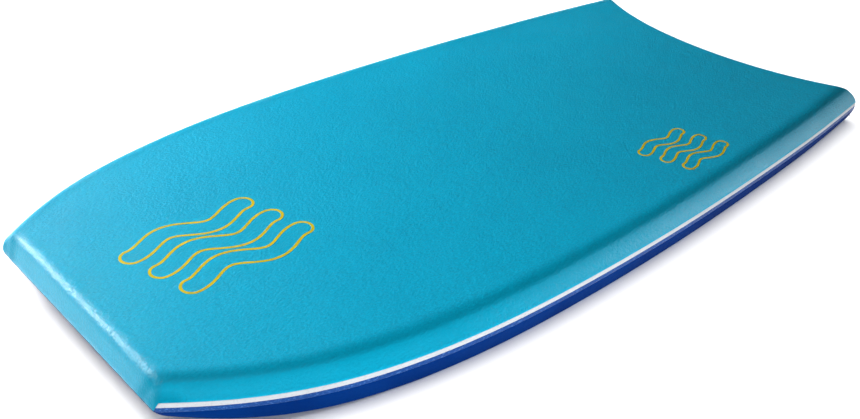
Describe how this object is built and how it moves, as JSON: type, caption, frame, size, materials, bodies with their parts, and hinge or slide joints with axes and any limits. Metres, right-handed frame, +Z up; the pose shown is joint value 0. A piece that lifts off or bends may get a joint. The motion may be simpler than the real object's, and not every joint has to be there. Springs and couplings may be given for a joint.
{
  "type": "bodyboard",
  "caption": "Prone-riding bodyboard with a crescent tail, bevelled chines, pinline rails, a slick bottom and a composite stringer.",
  "frame": {"origin": "under the middle of the board's box, on the flat of the slick bottom", "axes": "+Z up through the deck, nose towards -Y, tail towards +Y, X across the board"},
  "size_m": [0.5556, 1.054, 0.0571],
  "materials": {
    "core_foam": "closed-cell foam, matte",
    "deck_skin": "closed-cell foam skin, fine leather grain, satin",
    "rail_navy": "smooth foam skin, satin",
    "rail_blue": "foam strip with a pressed grain, satin",
    "pinline": "smooth foam strip, satin",
    "bumper_foam": "closed-cell foam, matte",
    "slick": "polished ionomer film",
    "backing_foam": "closed-cell foam, matte",
    "mesh": "woven polymer mesh",
    "stringer": "carbon and glass composite tube, satin",
    "cap": "moulded plug, satin"
  },
  "bodies": {
    "root": {"core": "core_foam", "deck_skin": "deck_skin", "lower_rail_left": "rail_navy", "lower_rail_right": "rail_navy", "nose_bumper": "bumper_foam", "pinline_left": "pinline", "pinline_right": "pinline", "rail_strip_left": "rail_blue", "rail_strip_right": "rail_blue", "slick": "slick", "slick_backing": "backing_foam", "slick_mesh": "mesh", "stringer_cap_nose": "cap", "stringer_cap_tail": "cap", "stringer_plug": "core_foam", "stringer_tube": "stringer", "tail_wrap": "deck_skin"}
  },
  "joints": []
}
